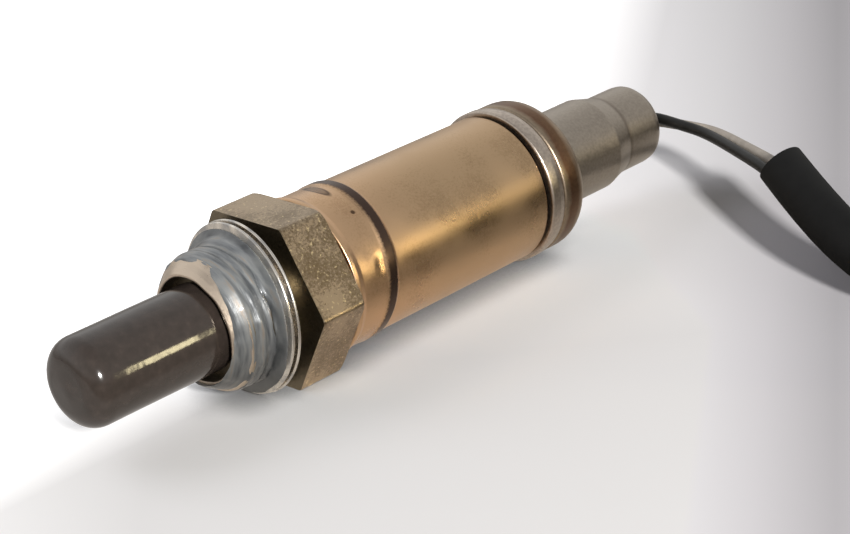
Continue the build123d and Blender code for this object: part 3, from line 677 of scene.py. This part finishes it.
# %% Finishes onto the cords and the CAD nodes
for piece_name, finish in (("black_wire", "wire_black"), ("grey_wire", "wire_grey"),
                           ("lead_tube", "lead_black")):
    bpy.data.objects[piece_name].data.materials.append(finishes[finish])
for entry in frame["record"]["subparts"]:
    node_object = bpy.data.objects[entry["node"]]
    for material_slot in node_object.material_slots:
        material_slot.material = finishes[entry["material_slot"]]

# %% [markdown]
# The cap is the first turned piece: a closed dome end with a broad rounding, a straight
# skirt and a thin rounded mouth that ends in the nose's recess. It rides on its own body,
# because it pulls off along the axis.

# %% Tip cap
def dipped(station, radius, turn):
    """Slight unevenness of a dipped skin, fading out towards the bore."""
    swell = 0.05 if radius > 5.2 or station < -29 else 0.0
    return station, radius * (1 + swell * 0.12 * waver(station, turn, 7))


cap = turned_piece("vinyl_tip_cap", rounded([
    (-30.3, 0), (-30.28, 0.8), (-30.0, 2.6), (-29.9, 5.85, 3.1), (-24, 5.85), (-18, 5.85),
    (-8.8, 5.85, 0.4), (-8.8, 4.95, 0.2), (-28.7, 4.95, 2.2), (-28.7, 0),
], parts=12), dipped)
dressed(cap, "cap", "tip_cap", "cap_vinyl")

# %% [markdown]
# The shell is one turned piece with a hex on it. In the hex's rows the radius is the
# softer of the turned envelope and the six flats, mixed with high powers, so that every
# edge gets the small rounding that plating leaves.

# %% Shell with its hex
HEX_LENGTH = 7.1


def hex_shape(station, radius, turn):
    """Radius of the hex's flats, mixed softly with the turned envelope."""
    if not -0.01 <= station <= HEX_LENGTH + 0.01 or radius < 10.3:
        return station, radius
    flats = sum(max(math.cos(turn - math.radians(30 + 60 * k)), 0) ** 130 for k in range(6))
    flat = HEX_ACROSS_FLATS / 2 * flats ** (-1 / 130)
    return station, (radius ** -200 + flat ** -200) ** (-1 / 200)


hex_rows = [(0, 10.25), (0, 10.8), (0, 11.1), (0, 11.6), (0, 12.1), (0, 12.62), (0.05, 13.3),
            (0.4, 13.3), (1.5, 13.3), (3.5, 13.3), (5.5, 13.3), (6.5, 13.3), (6.75, 12.75),
            (6.9, 12.55), (7.0, 12.4), (7.07, 12.25), (7.1, 12.0), (7.1, 11.6), (7.1, 11.1),
            (7.1, 10.3)]
shell_outline = rounded([
    (-7.9, 6.85), (-10.3, 6.85, 0.2), (-10.3, 7.25, 0.3), (-9.7, 7.8, 0.6), (-9.0, 8.25, 1.4),
    (-8.4, 8.85), (-4.75, 8.85), (-4.4, 7.8), (0, 7.8), (0, 9.5),
]) + hex_rows + [(7.1, 10.05), (17.0, 10.05), (17.0, 7.0), (-3.0, 7.0), (-3.0, 5.1), (-7.9, 5.1)]


def nose_dents(station, radius, turn):
    """The hex, and the nose's rim with the small dents of a used tool."""
    station, radius = hex_shape(station, radius, turn)
    if station < -8.5 and radius > 6.2:
        radius += 0.12 * waver(station, turn, 3.0)
        station += 0.22 * waver(station, turn, 4.0, 3.0)
    return station, radius


shell = turned_piece("steel_shell", shell_outline, nose_dents, steps=360)
dressed(shell, "sensor", "shell", "shell_nickel")

# %% [markdown]
# The M18 x 1.5 thread is a ridge that climbs 1.5 mm each turn. A Geometry Nodes tree lays
# it along a spiral, so its pitch and radius are two inputs and not a page of points.

# %% Thread ridge by Geometry Nodes
def new_tree(name, **inputs):
    """Geometry Nodes tree with named number inputs and a geometry output."""
    tree = bpy.data.node_groups.new(name, "GeometryNodeTree")
    tree.interface.new_socket("Geometry", in_out="OUTPUT", socket_type="NodeSocketGeometry")
    for label, value in inputs.items():
        socket = tree.interface.new_socket(label, in_out="INPUT", socket_type="NodeSocketFloat")
        socket.default_value = value
    return tree, add_node(tree, "NodeGroupInput")


def grown(name, tree, body, finish):
    """Plain mesh piece of what a tree makes, with no modifier left on it."""
    carrier = bpy.data.objects.new(name + "_carrier", bpy.data.meshes.new(name))
    bpy.context.collection.objects.link(carrier)
    modifier = carrier.modifiers.new("nodes", "NODES")
    modifier.node_group = tree
    evaluated = carrier.evaluated_get(bpy.context.evaluated_depsgraph_get())
    data = bpy.data.meshes.new_from_object(evaluated)
    bpy.data.objects.remove(carrier)
    piece = bpy.data.objects.new(name, data)
    bpy.context.collection.objects.link(piece)
    data.shade_smooth()
    return dressed(piece, body, None, finish)


THREAD_PITCH = 1.5
tree, sizes = new_tree("thread_ridge", Turns=2.3, Root_Radius=8.62, Length=2.3 * THREAD_PITCH)
spiral = add_node(tree, "GeometryNodeCurveSpiral", {
    "Resolution": 96, "Rotations": sizes.outputs["Turns"],
    "Start Radius": sizes.outputs["Root_Radius"], "End Radius": sizes.outputs["Root_Radius"],
    "Height": sizes.outputs["Length"]})
ridge = add_node(tree, "GeometryNodeCurvePrimitiveCircle", {"Resolution": 6, "Radius": 0.36})
sweep = add_node(tree, "GeometryNodeCurveToMesh", {"Curve": spiral.outputs[0],
                                                   "Profile Curve": ridge.outputs["Curve"],
                                                   "Fill Caps": True})
laid = add_node(tree, "GeometryNodeTransform", {
    "Geometry": sweep.outputs[0], "Translation": at(-8.3), "Rotation": (0, math.pi / 2, 0),
    "Scale": (MM, MM, MM)})
real = add_node(tree, "GeometryNodeRealizeInstances", {"Geometry": laid.outputs[0]})
skin = add_node(tree, "GeometryNodeSetMaterial", {"Geometry": real.outputs[0],
                                                  "Material": finishes["shell_nickel"]})
add_node(tree, "NodeGroupOutput", {"Geometry": skin.outputs[0]})
grown("thread_ridge", tree, "sensor", "shell_nickel")

# %% [markdown]
# Grease fills the thread and is smeared over the nose's edge and the gasket. It is its own
# skin over the thread: fine ribs where the ridges show through, streaks round the
# axis, and a few torn lumps low on the side where a thumb pressed it.

# %% Grease on the thread
def greased(station, radius, turn):
    """Ribs of the thread, wiping streaks and torn lumps in the grease."""
    if radius < 7.9:
        return station, radius
    low_side = (0.5 + 0.5 * math.cos(turn - math.radians(238))) ** 1.1
    ahead = max(0.0, min(1.0, (-7.6 - station) / 1.6))
    station -= ahead * (-0.45 + 2.3 * low_side + 0.45 * waver(0.0, turn, 2.0, 20.0))
    radius -= ahead * (0.1 + 1.35 * low_side)
    body = min(1.0, max(0.0, radius - 8.2))
    ribs = 0.09 * math.cos(math.tau * (station / THREAD_PITCH - turn / math.tau))
    streaks = 0.10 * waver(station * 5, turn, 5.0) + 0.05 * waver(station * 9, turn, 3.0, 7)
    facing = max(0.0, math.cos(turn - math.radians(196))) ** 2
    lumps = 0.5 * facing * max(0.0, waver(station * 1.3, turn, 1.7, 4.0))
    parting = facing * math.exp(-((station + 4.75 + 0.5 * waver(0.0, turn, 2.0, 31.0)) / 0.22) ** 2)
    behind = max(0.0, min(1.0, station + 5.0))
    station += behind * radius * (0.051 * math.sin(turn) + 0.07 * math.cos(turn))
    return station, radius + body * (ribs + streaks + lumps) - 0.75 * parting


grease_rows = [(-8.2, 8.3), (-9.05, 8.45), (-9.15, 8.6), (-9.05, 8.78), (-8.8, 8.92), (-8.5, 9.02)]
grease_rows += [(-8.3 + 0.12 * k, 9.08 + 0.004 * k) for k in range(1, 33)]
grease_rows += [(-4.3, 9.28), (-4.15, 9.4), (-4.03, 9.6), (-3.95, 9.85), (-3.9, 10.15),
                (-3.86, 10.3), (-3.84, 10.5), (-3.78, 10.66), (-3.6, 10.66), (-3.6, 9.4),
                (-4.3, 8.0), (-5.2, 8.0)]
grease_skin = turned_piece("grease_on_thread", grease_rows, greased, steps=360)
dressed(grease_skin, "sensor", None, "shell_nickel")
grease_skin.data.materials.clear()
grease_skin.data.materials.append(finishes["grease"])

# %% [markdown]
# The gasket is a strip of sheet folded into a ring, so it shows two rims with a dark slit
# between them. It is loose on the neck, so it is turned square at first and then leant on
# the table: up by 0.4 mm, to the near side and with its foot forward.

# %% Folded gasket
def folded(station, radius, turn):
    """Waviness of a pressed sheet ring."""
    return station + 0.06 * waver(0, turn, 6.0, 2.0), radius + 0.03 * waver(0, turn, 4.0, 5.0)


GASKET_BACK = -2.6
gasket = turned_piece("folded_gasket", rounded([
    (-3.85, 8.7, 0.2), (-3.85, 11.2, 0.19), (-3.45, 11.2, 0.19), (-3.42, 10.2), (-3.03, 10.2),
    (-3.0, 11.35, 0.19), (-2.6, 11.35, 0.19), (-2.6, 8.7, 0.2),
]), folded)
leaning = Matrix.Translation(at(GASKET_BACK + 0.15, -0.7, AXIS_HEIGHT + 0.36)) \
    @ Matrix.Rotation(math.radians(-4), 4, "Z") @ Matrix.Rotation(math.radians(2.9), 4, "Y") \
    @ Matrix.Translation(-at(GASKET_BACK))
gasket.data.transform(leaning)
dressed(gasket, "sensor", "gasket", "gasket_steel")

# %% [markdown]
# The protective sleeve is drawn tube, flared at the hex and welded all round to the shell.
# The weld is a low bead. Its ripples, one for each pulse of the laser, are many small
# scales set round the bead by a second Geometry Nodes tree.

# %% Protective sleeve and its weld
WELD_SLANT = 1.0


def pressed(station, radius, turn):
    """The weld's slant and two thumb-sized dents in the collar in front of it."""
    if radius < 10.1 or station < 9.2:
        return station, radius
    for middle, side, wide, sweep, deep in ((13.0, 165, 0.8, 6.5, 0.12),
                                            (11.6, 152, 1.1, 8.0, 0.08)):
        apart = ((station - middle) / wide) ** 2 + ((math.degrees(turn) - side) / sweep) ** 2
        radius -= deep * math.exp(-apart)
    if station < 18:
        share = min(1.0, (station - 9.2) / 4.5, (18 - station) / 1.8)
        station -= WELD_SLANT * share * (1 - math.sin(turn))
    return station, radius


collar_rows = [(9.6 + 0.25 * k, 10.63) for k in range(16)]
sleeve = turned_piece("protective_sleeve_gold", rounded([
    (7.5, 10.08), (7.5, 10.95, 0.25), (8.2, 10.95, 0.3), (9.0, 10.63, 0.8), *collar_rows,
    (13.8, 10.63, 0.3), (14.4, 10.76, 0.3), (15.6, 10.76, 0.3), (16.1, 10.45, 0.5), (18, 10.44),
    (28, 10.42), (42.0, 10.38, 4), (43.75, 10.42, 0.25), (43.75, 9.92), (17.6, 9.92),
    (17.2, 10.08),
]), pressed)
dressed(sleeve, "sensor", "protective_sleeve", "sleeve_gold")

tree, sizes = new_tree("weld_scales", Count=150.0, Radius=10.66)
circle = add_node(tree, "GeometryNodeCurvePrimitiveCircle", {"Resolution": 256,
                                                             "Radius": sizes.outputs["Radius"]})
spots = add_node(tree, "GeometryNodeCurveToPoints", {"Curve": circle.outputs["Curve"],
                                                     "Count": sizes.outputs["Count"]})
scale = add_node(tree, "GeometryNodeMeshIcoSphere", {"Radius": 1.0, "Subdivisions": 2})
spread = add_node(tree, "FunctionNodeRandomValue", {"Min": (0.05, 0.24, 0.55),
                                                    "Max": (0.09, 0.32, 0.7), "Seed": 4},
                  data_type="FLOAT_VECTOR")
laid = add_node(tree, "GeometryNodeInstanceOnPoints", {
    "Points": spots.outputs["Points"], "Instance": scale.outputs["Mesh"],
    "Rotation": spots.outputs["Rotation"], "Scale": spread.outputs[0]})
weld_lean = math.atan(WELD_SLANT / 10.66)
moved = add_node(tree, "GeometryNodeTransform", {
    "Geometry": laid.outputs[0], "Translation": at(15.0 - WELD_SLANT),
    "Rotation": (0, math.pi / 2 + weld_lean, 0), "Scale": (MM, MM, MM)})
real = add_node(tree, "GeometryNodeRealizeInstances", {"Geometry": moved.outputs[0]})
skin = add_node(tree, "GeometryNodeSetMaterial", {"Geometry": real.outputs[0],
                                                  "Material": finishes["sleeve_gold"]})
add_node(tree, "NodeGroupOutput", {"Geometry": skin.outputs[0]})
grown("weld_scales", tree, "sensor", "sleeve_gold")

# %% [markdown]
# Behind a dark gap come the retaining band and the rear cover. The cover is drawn in one
# piece: a brown shoulder ring, a tube, a soft step where it was crimped on the grommet
# and a rounded end. The crimp has left shallow flats round the smaller tube.

# %% Band and rear cover
band_piece = turned_piece("nickel_band", rounded([
    (44.35, 9.88), (44.35, 10.96, 0.3), (45.85, 10.96, 0.5), (46.8, 10.74, 0.1), (46.8, 9.88),
]))
dressed(band_piece, "sensor", "retaining_band", "band_nickel")


def crimped(station, radius, turn):
    """Shallow flats and a soft dent on the crimped end of the cover."""
    if station > 64 and radius > 5.5:
        grip = min(1.0, (station - 64) / 3)
        radius -= 0.05 * grip * (0.5 + 0.5 * math.cos(6 * turn))
        radius += 0.04 * grip * waver(station, turn, 4.0)
    return station, radius


cover_piece = turned_piece("rear_cover_steel", rounded([
    (35.0, 9.35), (35.0, 9.85), (46.9, 9.85), (46.9, 10.86, 0.4), (52.0, 10.86, 2.5),
    (52.0, 6.8, 0.5), (63.5, 6.8, 1.2), (65.0, 6.4), (66.9, 5.92, 1.0), (74.5, 5.92, 1.95),
    (74.5, 3.92), (74.0, 3.92), (74.0, 5.42, 1.45), (66.7, 5.42), (63.7, 6.3), (51.5, 6.3),
    (51.5, 10.36, 2.0), (47.4, 10.36), (47.4, 9.35),
]), crimped)
dressed(cover_piece, "sensor", "rear_cover", "cover_bronze")

# %% [markdown]
# The table is a pale sheet. Painted light washes it out to white behind the sensor and
# fades it to pinkish grey towards the lead, and painted shade darkens it along and under the
# sensor. Only the camera sees that, as it is mixed in by the light path; the metal sees a
# slightly darker sheet, painted darker still some way in front as painted shade.

# %% Table
table_material = bpy.data.materials.new("pale_table")
table_material.use_nodes = True
tree = table_material.node_tree
tree.nodes.clear()
place = add_node(tree, "ShaderNodeTexCoord").outputs["Object"]


def drift_along(direction, start, end):
    """Share from 0 to 1 between two places along a direction on the table, in millimetres."""
    along = add_node(tree, "ShaderNodeVectorMath", {0: place, 1: (*direction, 0.0)},
                     operation="DOT_PRODUCT")
    return add_node(tree, "ShaderNodeMapRange", {"Value": along.outputs["Value"],
                                                 "From Min": start * MM, "From Max": end * MM})


# Camera-only colour: painted light that fades from white at the back left to grey on the right.
side = drift_along((0.57, -0.82), -10, 90)
painted_light_fall = add_node(tree, "ShaderNodeValToRGB", {"Fac": side.outputs[0]},
                [(0.0, linear("#ffffff")), (0.24, linear("#f3f2f3")), (0.40, linear("#e6e5e7")),
                 (0.50, linear("#d8d7d9")), (0.60, linear("#c5c3c6")), (0.69, linear("#aba9ac")),
                 (0.74, linear("#b4b2b5")), (1.0, linear("#dedddf"))])
# Near the sensor's front the sheet is painted darker and cooler: painted shade along the sensor.
near = drift_along((0.68, 0.73), 60, -15)
inner = drift_along((0.73, -0.68), -80, -30)
low = add_node(tree, "ShaderNodeMath", {0: near.outputs[0], 1: inner.outputs[0]},
               operation="MULTIPLY")
beside = drift_along((0.0, -1.0), 26, 9)
length = drift_along((1.0, 0.0), -35, -5)
shaded = add_node(tree, "ShaderNodeMath", {0: beside.outputs[0], 1: length.outputs[0]},
                  operation="MULTIPLY")
shade_beside = add_node(tree, "ShaderNodeMix", {"Factor": shaded.outputs[0], 6: linear("#d3d2d2"),
                                        7: linear("#c8cdd3")}, data_type="RGBA")
front_shade = add_node(tree, "ShaderNodeMix", {"Factor": low.outputs[0], 6: linear("#ffffff"),
                                        7: shade_beside.outputs[2]}, data_type="RGBA")
shown = add_node(tree, "ShaderNodeMix", {"Factor": 1.0, 6: painted_light_fall.outputs["Color"],
                                         7: front_shade.outputs[2]},
                 data_type="RGBA", blend_type="DARKEN")
# Occlusion darkens the sheet where it meets the sensor: painted contact shade.
open_sky = add_node(tree, "ShaderNodeAmbientOcclusion", {"Distance": 6 * MM}, samples=8)
contact_shade = add_node(tree, "ShaderNodeMapRange", {"Value": open_sky.outputs["AO"], "From Min": 0.0,
                                                "From Max": 0.62, "To Min": 0.2, "To Max": 1.0})
shown = add_node(tree, "ShaderNodeMix", {"Factor": 1.0, 6: shown.outputs[2],
                                         7: contact_shade.outputs[0]},
                 data_type="RGBA", blend_type="MULTIPLY")
path = add_node(tree, "ShaderNodeLightPath")
# Rays other than the camera's see a darker sheet, darker still some way in front: painted shade for
# the metal's reflections.
ahead = drift_along((0.0, -1.0), 14, 24)
reflected_shade_tone = add_node(tree, "ShaderNodeMix", {"Factor": ahead.outputs[0], 6: linear("#c8c4bf"),
                                            7: linear("#85817c")}, data_type="RGBA")
colour = add_node(tree, "ShaderNodeMix", {"Factor": path.outputs["Is Camera Ray"],
                                          6: reflected_shade_tone.outputs[2], 7: shown.outputs[2]},
                  data_type="RGBA")
matte = add_node(tree, "ShaderNodeBsdfDiffuse", {"Color": colour.outputs[2]})
# A camera-only glow behind and left of the sensor is painted light, which washes out the body's
# shadow there.
far = drift_along((0.0, 1.0), 0, 22)
left = drift_along((0.57, -0.82), 28, -8)
washed = add_node(tree, "ShaderNodeMath", {0: far.outputs[0], 1: left.outputs[0]},
                  operation="MULTIPLY")
open_part = add_node(tree, "ShaderNodeMath", {0: washed.outputs[0], 1: contact_shade.outputs[0]},
                     operation="MULTIPLY")
seen = add_node(tree, "ShaderNodeMath", {0: open_part.outputs[0],
                                         1: path.outputs["Is Camera Ray"]},
                operation="MULTIPLY")
glow = add_node(tree, "ShaderNodeEmission", {"Color": linear("#ffffff"),
                                             "Strength": seen.outputs[0]})
both = add_node(tree, "ShaderNodeAddShader", {0: matte.outputs[0], 1: glow.outputs[0]})
add_node(tree, "ShaderNodeOutputMaterial", {"Surface": both.outputs[0]})
bpy.ops.mesh.primitive_plane_add(size=0.8, location=(0, 0, 0))
table_top = bpy.context.object
table_top.name = "table_top"
table_top.data.materials.append(table_material)
print("table", tuple(table_top.dimensions))

# %% [markdown]
# The light is plain: an even room, one soft lamp low in front on the left, which throws the
# long shadows behind the cap and the lead, and a small window low on the right. The window
# draws the streak along the cap and the bright line along the sleeve.

# %% Light
def lamp(name, azimuth, elevation, distance, size, power, colour):
    """Rectangular area lamp in a direction from the sensor's middle, in degrees and metres."""
    data = bpy.data.lights.new(name, "AREA")
    data.shape = "RECTANGLE"
    data.size, data.size_y = size
    data.energy = power
    data.color = linear(colour)[:3]
    light = bpy.data.objects.new(name, data)
    turn, rise = math.radians(azimuth), math.radians(elevation)
    middle = Vector((0, 0, AXIS_HEIGHT * MM))
    light.location = middle + distance * Vector((math.cos(turn) * math.cos(rise),
                                                 math.sin(turn) * math.cos(rise),
                                                 math.sin(rise)))
    light.rotation_euler = (light.location - middle).to_track_quat("Z", "Y").to_euler()
    bpy.context.collection.objects.link(light)
    return light


lamp("front_lamp", -117, 24.6, 0.9, (0.08, 0.08), 13.5, "#fffdfa")
lamp("low_window", -61, 7.0, 0.55, (0.038, 0.11), 0.30, "#fff0c0")
lamp("right_window", -47, 13, 0.7, (0.05, 0.07), 0.02, "#fff3d2")
back_window = lamp("back_window", 120, 42, 1.0, (0.7, 0.5), 3.2, "#f8f8ff")
back_window.visible_glossy = False

world = bpy.data.worlds.new("even_room")
bpy.context.scene.world = world
world.use_nodes = True
tree = world.node_tree
tree.nodes.clear()
sky = add_node(tree, "ShaderNodeTexCoord")
height = add_node(tree, "ShaderNodeSeparateXYZ", {0: sky.outputs["Generated"]})
tone = add_node(tree, "ShaderNodeValToRGB", {"Fac": height.outputs["Z"]},
                [(0.0, linear("#8f8b86")), (0.10, linear("#aaa7a3")), (0.3, linear("#dcdbd9")),
                 (0.8, linear("#c4c4c4")), (1.0, linear("#a0a0a2"))])
path = add_node(tree, "ShaderNodeLightPath")
looked_at = add_node(tree, "ShaderNodeMath", {0: path.outputs["Is Glossy Ray"],
                                              1: path.outputs["Is Camera Ray"]},
                     operation="MAXIMUM")
share = add_node(tree, "ShaderNodeMapRange", {"Value": looked_at.outputs[0],
                                              "To Min": 0.32, "To Max": 1.0})
lit_side = add_node(tree, "ShaderNodeMapRange", {"Value": height.outputs["Y"], "From Min": -0.6,
                                                 "From Max": 0.6, "To Min": 0.82, "To Max": 1.4})
level = add_node(tree, "ShaderNodeMath", {0: share.outputs[0], 1: lit_side.outputs[0]},
                 operation="MULTIPLY")
room = add_node(tree, "ShaderNodeBackground", {"Color": tone.outputs["Color"],
                                               "Strength": level.outputs[0]})
add_node(tree, "ShaderNodeOutputWorld", {"Surface": room.outputs[0]})
print("lamps and room ready")
